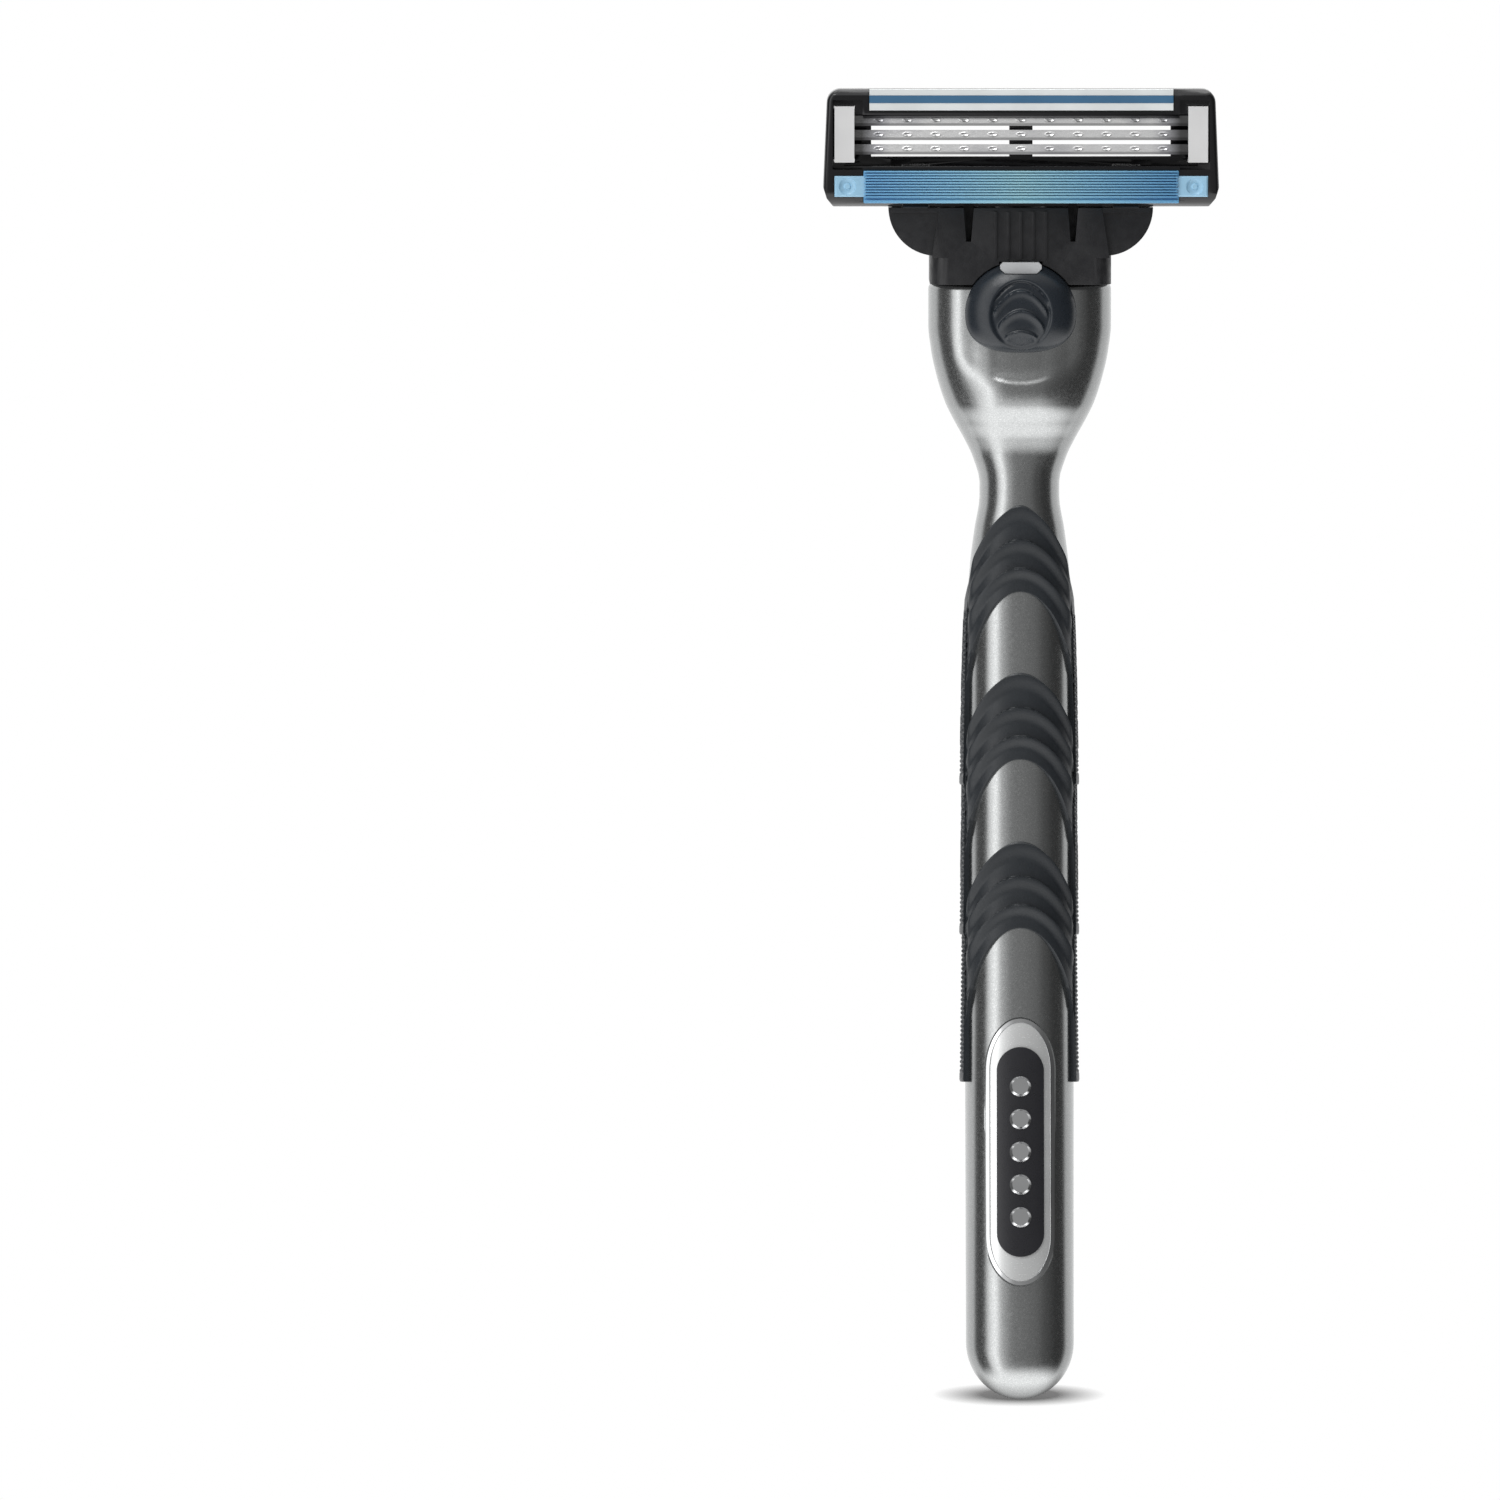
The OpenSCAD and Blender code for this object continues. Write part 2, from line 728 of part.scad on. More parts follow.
module housing_body() {
    difference() {
        union() {
            intersection() {
                along_y(face_y, back_y) housing_outline();
                along_x(-unit_w / 2, unit_w / 2) housing_profile();
            }
            along_x(-foot_w, foot_w) {
                translate([back_y - 0.4, foot_bottom])
                    square([foot_end - back_y + 0.4 - 0.6, foot_top - foot_bottom]);
                translate([foot_end - 1.2, foot_bottom + 1.2]) circle(1.2, $fn = 32);
            }
        }
        // blade opening: a seat for the blades in front, two openings through to the back
        block(-blade_l / 2 - 0.1, blade_l / 2 + 0.1, -12, face_y + 2.2, open_z[0], open_z[1]);
        both_sides() block(1.2, 15.5, -12, back_y + 1, through_z[0], through_z[1]);
        // clip windows and the clips' slots
        both_sides() block(window_x[0], window_x[1], -12, face_y + 0.45, window_z[0], window_z[1]);
        both_sides() clip_band(gap);
        // seats for the strip, the guard and its end pads
        block(-strip_w - gap, strip_w + gap, -12, face_y + 1.25,
            unit_top - strip_h - gap, unit_top + 1);
        block(-guard_w - gap, guard_w + gap, -12, face_y + 0.75,
            guard_z[0] - gap, guard_z[1] + gap);
        both_sides() block(pad_x[0], pad_x[1] + gap, -12, face_y + 0.45,
            pad_z[0] - gap, pad_z[1] + gap);
        // windows round the bars that the hooks hold
        both_sides() along_x(hook_x[0] - 0.15, hook_x[1] + 0.15) difference() {
            slice(hook_out + 0.15, hook_from - 8, hook_to + pivot_travel + 6);
            translate([pivot_y, pivot_z]) circle(journal_r, $fn = 64);
        }
    }
}

module clip() {
    color([0.8, 0.81, 0.82]) in_head() clip_band(0);
}

module clip_right() {
    clip();
}

module clip_left() {
    mirror([1, 0, 0]) clip();
}

strip_y = face_y - 0.3;
core_z = [unit_top - 1.4, unit_top - 0.6];

module lubricating_strip() {
    color([0.93, 0.94, 0.94])
        in_head() difference() {
            block(-strip_w, strip_w, strip_y, face_y + 1.2, unit_top - strip_h, unit_top);
            block(-strip_w - 1, strip_w + 1, strip_y - 1, strip_y + 0.5, core_z[0], core_z[1]);
        }
}

module strip_core() {
    color([0.27, 0.42, 0.55])
        in_head() block(-strip_w, strip_w, strip_y - 0.03, strip_y + 0.5 - tiny,
            core_z[0] + tiny, core_z[1] - tiny);
}

fin_pitch = 0.29;
fin_t = 0.15;
fin_h = 0.4;

module guard_fins() {
    color([0.42, 0.62, 0.77])
        in_head() {
            block(-guard_w, guard_w, face_y - 0.1, face_y + 0.7, guard_z[0], guard_z[1]);
            for (k = [0:fin_count - 1])
                block(-guard_w, guard_w, face_y - 0.1 - fin_h, face_y - 0.1 + tiny,
                    guard_z[1] - fin_t - k * fin_pitch, guard_z[1] - k * fin_pitch);
            both_sides() difference() {
                block(pad_x[0] - 0.2, pad_x[1], face_y - 0.15, face_y + 0.4, pad_z[0], pad_z[1]);
                translate([18, face_y - 0.1, (pad_z[0] + pad_z[1]) / 2]) rotate([90, 0, 0])
                    difference() {
                        cylinder(r = 0.95, h = 2, center = true, $fn = 32);
                        cylinder(r = 0.4, h = 3, center = true, $fn = 32);
                        translate([0, 0, -2.3]) cylinder(r = 1.2, h = 2, $fn = 32);
                    }
            }
        }
}

// a blade slopes back from its edge, which points down at the guard
blade_tilt = 21;
blade_h = 1.1;
blade_t = 0.1;
support_t = 0.18;
edge_y = face_y + 0.2;

module in_blade(k) {
    in_head() translate([0, edge_y, blade_z[k - 1] - 0.5]) rotate([-blade_tilt, 0, 0]) children();
}

module blade(k) {
    color([0.82, 0.83, 0.85])
        in_blade(k) block(-blade_l / 2, blade_l / 2, 0, blade_t, 0, blade_h);
}

module blade_support(k) {
    color([0.35, 0.35, 0.37])
        in_blade(k) {
            y = blade_t + 0.01;
            block(-blade_l / 2 + 0.3, blade_l / 2 - 0.3, y, y + support_t, 0.35, blade_h);
            translate([0, y, 0.35]) rotate([blade_tilt, 0, 0])
                block(-blade_l / 2 + 0.3, blade_l / 2 - 0.3, 0.09, 1.1, 0, support_t);
        }
}

handle_shell();
grip(grip_upper_z);  // grip_upper
grip(grip_middle_z);  // grip_middle
grip(grip_lower_z);  // grip_lower
badge_bezel();
badge_plate();
badge_inlay();
badge_emblem();
docking_nose();
ejector_fork();
ejector_button();
button_pad();
button_springs();
plunger();
plunger_spring();
connecting_member();
cartridge_housing();
clip_left();
clip_right();
lubricating_strip();
strip_core();
guard_fins();
blade(1);  // blade_1
blade(2);  // blade_2
blade(3);  // blade_3
blade_support(1);  // blade_support_1
blade_support(2);  // blade_support_2
blade_support(3);  // blade_support_3
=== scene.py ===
"""Cartridge razor: the looks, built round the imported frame. Lengths are in millimetres."""

import math
import bmesh
import bpy
import numpy as np
from mathutils import Matrix, Vector


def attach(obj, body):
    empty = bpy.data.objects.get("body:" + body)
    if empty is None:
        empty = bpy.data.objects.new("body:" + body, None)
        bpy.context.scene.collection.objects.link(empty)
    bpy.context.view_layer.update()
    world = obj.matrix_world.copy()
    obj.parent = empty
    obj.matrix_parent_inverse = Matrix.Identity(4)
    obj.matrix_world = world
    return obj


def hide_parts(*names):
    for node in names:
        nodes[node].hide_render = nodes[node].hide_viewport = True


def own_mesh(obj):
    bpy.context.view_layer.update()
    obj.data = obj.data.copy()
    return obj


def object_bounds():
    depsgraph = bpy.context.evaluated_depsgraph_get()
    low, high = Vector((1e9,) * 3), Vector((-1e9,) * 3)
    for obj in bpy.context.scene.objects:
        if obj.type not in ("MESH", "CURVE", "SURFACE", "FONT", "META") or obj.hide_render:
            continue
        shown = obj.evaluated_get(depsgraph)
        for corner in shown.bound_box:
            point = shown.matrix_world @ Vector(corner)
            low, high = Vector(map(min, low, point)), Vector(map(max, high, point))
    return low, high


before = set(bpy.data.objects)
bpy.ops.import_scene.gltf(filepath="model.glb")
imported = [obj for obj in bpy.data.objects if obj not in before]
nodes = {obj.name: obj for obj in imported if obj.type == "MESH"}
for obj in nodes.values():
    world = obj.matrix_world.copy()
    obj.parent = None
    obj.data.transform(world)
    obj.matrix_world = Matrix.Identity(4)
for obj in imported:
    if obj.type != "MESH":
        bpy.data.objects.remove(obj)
cad_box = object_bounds()
MM = 0.001

# ---------------------------------------------------------------- the handle's spine and sections

HEAD_TILT = math.radians(5)
DOCK_Z = 116.0                      # the docking face
TAIL_SLOPE = 0.16                   # the spine's slope at the handle's lower end
SPINE_END = 100.0                   # above this the spine is straight
SPINE_BEND = (-math.tan(HEAD_TILT) - TAIL_SLOPE) / (2 * SPINE_END)
END_H = 5.9                         # height of the rounded lower end
TILT_FROM, TILT_TO = 94.0, 104.0    # between these the sections turn square to the head's axis

# height, half width, half depth and squareness of the metal above its rounded end
METAL = np.array([
    [5.9, 5.60, 5.15, 2.2], [20, 5.62, 5.45, 2.3], [34, 5.65, 5.70, 2.3], [50, 5.65, 6.00, 2.3],
    [64, 5.65, 6.10, 2.3], [74, 5.60, 5.90, 2.3], [81.7, 5.45, 5.60, 2.3], [86.6, 5.15, 5.25, 2.3],
    [90.3, 4.70, 4.95, 2.3], [93.9, 4.15, 4.70, 2.2], [95.3, 4.15, 4.70, 2.2],
    [97.9, 4.85, 4.80, 2.2], [99.9, 5.80, 5.20, 2.2], [101.6, 6.75, 5.75, 2.2],
    [103.6, 7.74, 6.25, 2.25], [106.1, 8.56, 6.35, 2.3], [108.9, 9.19, 6.40, 2.3],
    [111.7, 9.50, 6.40, 2.3], [115.2, 9.50, 6.40, 2.3], [116, 9.45, 6.35, 2.3],
])


def spine_y(z):
    """Where the handle's middle line lies at a height."""
    z = np.asarray(z, float)
    low = TAIL_SLOPE * z + SPINE_BEND * z * z
    end = TAIL_SLOPE * SPINE_END + SPINE_BEND * SPINE_END ** 2
    return np.where(z < SPINE_END, low, end - math.tan(HEAD_TILT) * (z - SPINE_END))


def ease(t):
    """0 below 0, 1 above 1 and smooth between."""
    t = np.clip(t, 0, 1)
    return t * t * (3 - 2 * t)


def smooth_lookup(z, column):
    """A smooth curve through one column of METAL that never overshoots its points."""
    x, y = METAL[:, 0], METAL[:, column]
    step = np.diff(x)
    slope = np.diff(y) / step
    m = np.zeros_like(y)
    same = slope[:-1] * slope[1:] > 0
    m[1:-1][same] = 2 * slope[:-1][same] * slope[1:][same] / (slope[:-1] + slope[1:])[same]
    z = np.clip(np.asarray(z, float), x[0], x[-1])
    i = np.clip(np.searchsorted(x, z, side="right") - 1, 0, len(step) - 1)
    t = (z - x[i]) / step[i]
    return ((2 * t ** 3 - 3 * t ** 2 + 1) * y[i] + (t ** 3 - 2 * t ** 2 + t) * step[i] * m[i]
            + (3 * t ** 2 - 2 * t ** 3) * y[i + 1] + (t ** 3 - t ** 2) * step[i] * m[i + 1])


def signed_power(v, p):
    return np.sign(v) * np.abs(v) ** p


def skin(angle, z, over=0.0):
    """Points of the metal's surface at an angle round the handle and a height, over it by over."""
    e = smooth_lookup(z, 3)
    w, d = smooth_lookup(z, 1) + over, smooth_lookup(z, 2) + over
    cap = np.sqrt(np.clip(1 - (1 - np.clip(z / END_H, 0, 1)) ** 2, 0, 1))
    x = w * cap * signed_power(np.cos(angle), 2 / e)
    y = d * cap * signed_power(np.sin(angle), 2 / e)
    tilt = HEAD_TILT * ease((z - TILT_FROM) / (TILT_TO - TILT_FROM))
    return np.stack([x, spine_y(z) + y * np.cos(tilt), z + y * np.sin(tilt)], axis=-1)


def head_matrix():
    """The docking frame: its Z is the docking axis and its 0 is the docking face."""
    return (Matrix.Translation(Vector((0, float(spine_y(DOCK_Z)), DOCK_Z)) * MM)
            @ Matrix.Rotation(HEAD_TILT, 4, "X"))


def head_points(points):
    """Points of the docking frame, in the razor's frame."""
    p = np.asarray(points, float)
    c, s = math.cos(HEAD_TILT), math.sin(HEAD_TILT)
    y = float(spine_y(DOCK_Z)) + p[..., 1] * c - p[..., 2] * s
    z = DOCK_Z + p[..., 1] * s + p[..., 2] * c
    return np.stack([p[..., 0], y, z], axis=-1)


# ---------------------------------------------------------------- meshes


def linked(name, data):
    """An object with this data, in the scene."""
    obj = bpy.data.objects.new(name, data)
    bpy.context.scene.collection.objects.link(obj)
    return obj


def from_bmesh(name, work):
    """An object with the mesh that was worked on."""
    mesh = bpy.data.meshes.new(name)
    work.to_mesh(mesh)
    work.free()
    return linked(name, mesh)


def smoothed(obj, sharp):
    """Shades an object smooth, except at edges sharper than an angle in degrees."""
    obj.data.shade_smooth()
    obj.data.set_sharp_from_angle(angle=math.radians(sharp))
    return obj


def new_object(name, points, faces, sharp=35.0):
    """A mesh object from points in millimetres, with its faces looking outward."""
    mesh = bpy.data.meshes.new(name)
    points = np.asarray(points, float) * MM
    mesh.from_pydata([tuple(p) for p in points], [], [tuple(f) for f in faces])
    mesh.validate()
    work = bmesh.new()
    work.from_mesh(mesh)
    bmesh.ops.recalc_face_normals(work, faces=work.faces)
    work.to_mesh(mesh)
    work.free()
    return smoothed(linked(name, mesh), sharp)


def grid_faces(rows, cols, closed_cols=True, closed_rows=False):
    """Quads between the points of a grid of rows by cols."""
    faces = []
    for r in range(rows if closed_rows else rows - 1):
        for c in range(cols if closed_cols else cols - 1):
            a, b = r * cols + c, r * cols + (c + 1) % cols
            r2 = (r + 1) % rows * cols
            faces.append((a, b, r2 + (c + 1) % cols, r2 + c))
    return faces


def prism(name, points):
    """A closed block between two like outlines; points has the first one and then the second."""
    n = len(points) // 2
    faces = grid_faces(2, n) + [tuple(range(n - 1, -1, -1)), tuple(range(n, 2 * n))]
    return new_object(name, points, faces)


def rounded_box(name, low, high, radius, segments=3):
    """A box in millimetres with rounded edges."""
    work = bmesh.new()
    bmesh.ops.create_cube(work, size=1.0)
    low, high = np.array(low, float), np.array(high, float)
    for v in work.verts:
        v.co = Vector(((low + high) / 2 + np.array(v.co) * (high - low)) * MM)
    bmesh.ops.bevel(work, geom=work.edges[:], offset=radius * MM, segments=segments, profile=0.5,
                    affect="EDGES", clamp_overlap=True)
    return smoothed(from_bmesh(name, work), 40)


def joined(name, parts):
    """One object made of several; the parts stay closed solids inside it."""
    work = bmesh.new()
    for part in parts:
        work.from_mesh(part.data)
        bpy.data.objects.remove(part)
    return smoothed(from_bmesh(name, work), 40)


def bare_copy(node, name):
    """A copy of a node's mesh with its points merged, as an object of its own."""
    work = bmesh.new()
    work.from_mesh(nodes[node].data)
    bmesh.ops.remove_doubles(work, verts=work.verts, dist=0.001 * MM)
    return from_bmesh(name, work)


def cut(obj, cutter, operation="DIFFERENCE"):
    """Takes the cutter out of an object, or keeps only what is inside it. The cutter goes."""
    mod = obj.modifiers.new("cut", "BOOLEAN")
    mod.operation = operation
    mod.object = cutter
    mod.solver = "EXACT"
    bpy.context.view_layer.update()
    graph = bpy.context.evaluated_depsgraph_get()
    mesh = bpy.data.meshes.new_from_object(obj.evaluated_get(graph))
    obj.modifiers.clear()
    obj.data = mesh
    obj.data.set_sharp_from_angle(angle=math.radians(50))
    bpy.data.objects.remove(cutter)


def bevel(obj, width, segments=3, limit="ANGLE"):
    """Adds a modifier that rounds the sharp or the weighted edges by a width in millimetres."""
    mod = obj.modifiers.new("round", "BEVEL")
    mod.width = width * MM
    mod.segments = segments
    mod.limit_method = limit
    mod.angle_limit = math.radians(30)
    mod.harden_normals = True
    mod.miter_outer = "MITER_ARC"


# ---------------------------------------------------------------- materials


def wired(tree, kind, *values, **settings):
    """A new shader node. Its first inputs take the values: a socket is linked, a number is set."""
    node = tree.nodes.new(kind)
    for key, value in settings.items():
        setattr(node, key, value)
    for socket, value in zip(node.inputs, values):
        if isinstance(value, bpy.types.NodeSocket):
            tree.links.new(value, socket)
        else:
            socket.default_value = value
    return node


def maths(tree, operation, *values):
    return wired(tree, "ShaderNodeMath", *values, operation=operation).outputs[0]


MATERIALS = {}


class Nodes:
    """A short way to build one procedural material, which MATERIALS keeps under its name."""

    def __init__(self, name, **values):
        self.material = MATERIALS[name] = bpy.data.materials.new(name)
        self.material.use_nodes = True
        self.tree = self.material.node_tree
        self.shader = self.tree.nodes["Principled BSDF"]
        for key, value in values.items():
            self.shader.inputs[key].default_value = value
        self.coords = self.tree.nodes.new("ShaderNodeTexCoord").outputs["Object"]

    def noise(self, size_mm, detail=2.0, stretch=(1, 1, 1)):
        """Noise whose features are about size_mm across."""
        mapping = self.tree.nodes.new("ShaderNodeMapping")
        mapping.inputs["Scale"].default_value = [s / (size_mm * MM) for s in stretch]
        self.tree.links.new(self.coords, mapping.inputs["Vector"])
        noise = self.tree.nodes.new("ShaderNodeTexNoise")
        noise.inputs["Scale"].default_value = 1.0
        noise.inputs["Detail"].default_value = detail
        self.tree.links.new(mapping.outputs["Vector"], noise.inputs["Vector"])
        return noise.outputs["Fac"]

    def from_middle(self):
        """Distance from the razor's middle plane, in metres."""
        split = wired(self.tree, "ShaderNodeSeparateXYZ", self.coords)
        return maths(self.tree, "ABSOLUTE", split.outputs["X"])

    def colours(self, factor, stops):
        """Sets the base colour from a factor through (position, colour) stops."""
        ramp = self.tree.nodes.new("ShaderNodeValToRGB")
        elements = ramp.color_ramp.elements
        for k in (0, -1):
            position, colour = stops[k]
            elements[k].position, elements[k].color = position, (*colour, 1)
        for position, colour in stops[1:-1]:
            elements.new(position).color = (*colour, 1)
        self.tree.links.new(factor, ramp.inputs["Fac"])
        self.tree.links.new(ramp.outputs["Color"], self.shader.inputs["Base Color"])

    def remap(self, factor, low, high, source=(0.3, 0.7)):
        """Takes the source range of a factor to the range from low to high."""
        node = self.tree.nodes.new("ShaderNodeMapRange")
        node.inputs["From Min"].default_value, node.inputs["From Max"].default_value = source
        node.inputs["To Min"].default_value, node.inputs["To Max"].default_value = low, high
        self.tree.links.new(factor, node.inputs["Value"])
        return node.outputs["Result"]

    def roughness(self, factor, low, high):
        self.tree.links.new(self.remap(factor, low, high), self.shader.inputs["Roughness"])

    def bump(self, factor, height_mm):
        node = self.tree.nodes.new("ShaderNodeBump")
        node.inputs["Strength"].default_value = 1.0
        node.inputs["Distance"].default_value = height_mm * MM
        self.tree.links.new(factor, node.inputs["Height"])
        self.tree.links.new(node.outputs["Normal"], self.shader.inputs["Normal"])


ACROSS, UP = (0.15, 1, 1), (1, 1, 0.15)     # stretches of the ground lines, along x and along z


def scaled(colour, k):
    return tuple(min(1.0, c * k) for c in colour)


def satin_metal():
    """Satin nickel with the sparkle of fine shot blasting."""
    m = Nodes("satin_metal", Metallic=1.0)
    grain = m.noise(0.12, 3.0)
    m.colours(grain, [(0.3, (0.43, 0.44, 0.44)), (0.6, (0.52, 0.53, 0.53)),
                      (0.75, (0.68, 0.69, 0.69))])
    m.roughness(m.noise(0.3, 2.0), 0.20, 0.28)
    m.bump(grain, 0.0022)


def rubber(name, colour, rough, depth_mm=0.012):
    """Moulded rubber or elastomer with a fine matt grain."""
    m = Nodes(name, Metallic=0.0)
    m.colours(m.noise(2.5, 4.0), [(0.3, scaled(colour, 0.93)), (0.7, scaled(colour, 1.07))])
    m.roughness(m.noise(0.5, 3.0), *rough)
    m.bump(m.noise(0.16, 3.0), depth_mm)


def plastic(name, colour, rough, grain_mm=0.2, depth_mm=0.004):
    """Moulded plastic, from gloss to a grained finish."""
    m = Nodes(name, Metallic=0.0)
    m.colours(m.noise(3.0, 4.0), [(0.3, scaled(colour, 0.95)), (0.7, scaled(colour, 1.05))])
    m.roughness(m.noise(0.8, 3.0), *rough)
    m.bump(m.noise(grain_mm, 3.0), depth_mm)


def ground(m, rough, stretch=ACROSS):
    """Gives a metal its fine ground lines."""
    lines = m.noise(0.06, 3.0, stretch)
    m.roughness(lines, *rough)
    m.bump(lines, 0.0002)


def steel(name, colour, rough, stretch=ACROSS, dark=0.8, metallic=1.0):
    """Rolled or ground metal with broad, slightly darker patches."""
    m = Nodes(name, Metallic=metallic)
    m.colours(m.noise(5.0, 1.0), [(0.35, scaled(colour, dark)), (0.65, scaled(colour, 1.05))])
    ground(m, rough, stretch)


def blade_metal():
    """Ground steel with painted reflections as broad light and dark stretches, and painted shade at
    its ends where the clips hold it.
    """
    m = Nodes("blade_steel", Metallic=1.0)
    # painted shade: the colour goes dark towards the blade's ends, where the clips hold it
    outside_painted_shade = m.remap(m.from_middle(), 1.0, 0.0, source=(0.0135, 0.0165))
    # painted reflections: broad light and dark stretches along the blade
    painted_reflections = m.remap(m.noise(6.0, 1.0), 0.45, 1.0, source=(0.35, 0.6))
    m.colours(maths(m.tree, "MULTIPLY", painted_reflections, outside_painted_shade),
              [(0.0, (0.12, 0.12, 0.12)), (0.5, (0.62, 0.62, 0.65)), (1.0, (1.0, 1.0, 1.0))])
    ground(m, (0.16, 0.26))


def guard_rubber():
    """Blue elastomer with a painted reflection: paler and greener along the middle of the guard
    than at its ends.
    """
    m = Nodes("guard_elastomer", Metallic=0.0)
    # painted reflection: the colour is paler and greener near the middle of the guard
    m.colours(m.remap(m.from_middle(), 0.0, 1.0, source=(0.0, 0.015)),
              [(0.0, (0.36, 0.64, 0.74)), (0.5, (0.25, 0.53, 0.73)), (1.0, (0.15, 0.40, 0.66))])
    m.roughness(m.noise(0.5, 3.0), 0.3, 0.42)
    m.bump(m.noise(0.16, 3.0), 0.002)


satin_metal()
rubber("grip_rubber", (0.024, 0.028, 0.033), (0.33, 0.45))
rubber("button_rubber", (0.018, 0.023, 0.030), (0.24, 0.34), depth_mm=0.004)
plastic("connector_plastic", (0.016, 0.016, 0.018), (0.3, 0.5), grain_mm=0.11, depth_mm=0.012)
plastic("housing_plastic", (0.010, 0.010, 0.011), (0.12, 0.2), depth_mm=0.001)
plastic("inner_plastic", (0.03, 0.03, 0.034), (0.3, 0.42))
plastic("light_plastic", (0.55, 0.56, 0.57), (0.28, 0.38))
plastic("strip_white", (0.80, 0.83, 0.83), (0.35, 0.5), depth_mm=0.003)
plastic("strip_blue", (0.055, 0.16, 0.29), (0.35, 0.5), depth_mm=0.003)
rubber("guard_pad", (0.36, 0.62, 0.82), (0.25, 0.35), depth_mm=0.001)
guard_rubber()
blade_metal()
steel("support_steel", (0.20, 0.20, 0.21), (0.3, 0.4))
steel("clip_aluminium", (0.93, 0.93, 0.93), (0.3, 0.4), stretch=UP, dark=0.95, metallic=0.35)
steel("badge_chrome", (0.90, 0.91, 0.92), (0.06, 0.12), dark=0.95)
steel("badge_silver", (0.88, 0.89, 0.89), (0.2, 0.28), dark=0.94, metallic=0.5)
plastic("badge_dark", (0.022, 0.022, 0.026), (0.25, 0.35), depth_mm=0.002)
steel("spring_steel", (0.55, 0.55, 0.56), (0.2, 0.3))


def paint(obj, material):
    obj.data.materials.clear()
    obj.data.materials.append(MATERIALS[material])


def ride(obj, body, replaced, material):
    """Paints a piece, puts it on its body and hides the nodes that it stands in for."""
    paint(obj, material)
    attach(obj, body)
    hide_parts(*replaced)


# ---------------------------------------------------------------- metal body

BADGE_W, BADGE_L, BADGE_Z = 7.1, 27.7, 25.15
BADGE_END = 5.3                             # height of the badge's rounded ends
BADGE_GAP = 0.14                            # groove round the badge
POCKET_Y = (-4.6, -9)                       # depths of the badge's cutter, from the spine
CREASE_Z, CREASE_BEND = 104.9, 0.05         # the arched crease under the button
DISH_IN, SHELF_IN, BULGE_OUT = 0.34, 0.09, 0.55
BULGE_Z, BULGE_H = 105.3, 2.5
HEAD_W = 9.5                                # half width of the metal's head
LIP_Z, LIP_R, LIP_STEPS = 115.5, 0.5, 6     # the rounded lip at the docking face


def metal_front_shift(x, z, w):
    """How far the front of the head moves in: the dish under the button and the crease below it."""
    across = np.clip(np.abs(x) / w, 0, 1)
    crease_z = CREASE_Z + CREASE_BEND * x * x
    dish = DISH_IN * ease((z - crease_z) / 2.8) * (1 - ease((np.abs(x) - 4.6) / 2.6))
    shelf_start = ease((z - crease_z - 0.8 - 0.02 * x * x) / 0.4)
    shelf = SHELF_IN * shelf_start * (1 - ease((np.abs(x) - 2.2) / 1.2))
    bulge = np.exp(-((z - BULGE_Z) / BULGE_H) ** 2) * (1 - ease((across - 0.2) / 0.6))
    return dish + shelf - BULGE_OUT * bulge


def badge_pocket():
    """A cutter for the badge's seat, wider than the badge so that a dark groove shows round it."""
    half_w, half_l, end = BADGE_W / 2 + BADGE_GAP, BADGE_L / 2 + BADGE_GAP, BADGE_END + BADGE_GAP
    a = np.linspace(0, math.pi, 40)
    top = [(half_w * math.cos(t), half_l - end + end * math.sin(t)) for t in a]
    outline = top + [(-x, -z) for x, z in top]
    lean = -math.atan(TAIL_SLOPE + 2 * SPINE_BEND * BADGE_Z)
    place = (Matrix.Translation((0, float(spine_y(BADGE_Z)), BADGE_Z))
             @ Matrix.Rotation(lean, 4, "X"))
    return prism("pocket", [place @ Vector((x, y, z)) for y in POCKET_Y for x, z in outline])


def build_metal_body():
    """The satin metal casting, closed at both ends, with the badge's seat cut into it."""
    cols = 176
    low = END_H * (1 - np.cos(np.linspace(0.04, math.pi / 2, 16)))
    heights = np.concatenate([low, np.arange(6.6, 98, 0.8), np.arange(98, 115.3, 0.2),
                              [115.3, LIP_Z]])
    angles = np.arange(cols) * 2 * math.pi / cols
    grid = skin(angles[None, :], heights[:, None] * np.ones((1, cols)))
    w = smooth_lookup(heights, 1)[:, None]
    front = np.clip(-np.sin(angles), 0, 1)[None, :] ** 0.5
    shift = metal_front_shift(grid[..., 0], heights[:, None], w)
    grid[..., 1] += shift * front * (heights[:, None] > 95)
    rings = [grid]
    for k in range(1, LIP_STEPS + 1):
        a = k / LIP_STEPS * math.pi / 2
        z = np.array([[LIP_Z + LIP_R * math.sin(a)]])
        ring = skin(angles[None, :], z, -LIP_R * (1 - math.cos(a)))
        ring[..., 1] += metal_front_shift(ring[..., 0], LIP_Z, HEAD_W) * front
        rings.append(ring)
    grid = np.concatenate(rings)
    rows = len(grid)
    points = np.vstack([grid.reshape(-1, 3), [[0, 0, 0]]])
    faces = grid_faces(rows, cols)
    faces += [((c + 1) % cols, c, len(points) - 1) for c in range(cols)]
    faces.append(tuple((rows - 1) * cols + c for c in range(cols)))
    body = new_object("metal_body", points, faces, sharp=50)
    cut(body, badge_pocket())
    ride(body, "handle", ["handle_shell"], "satin_metal")


# ---------------------------------------------------------------- rubber grips

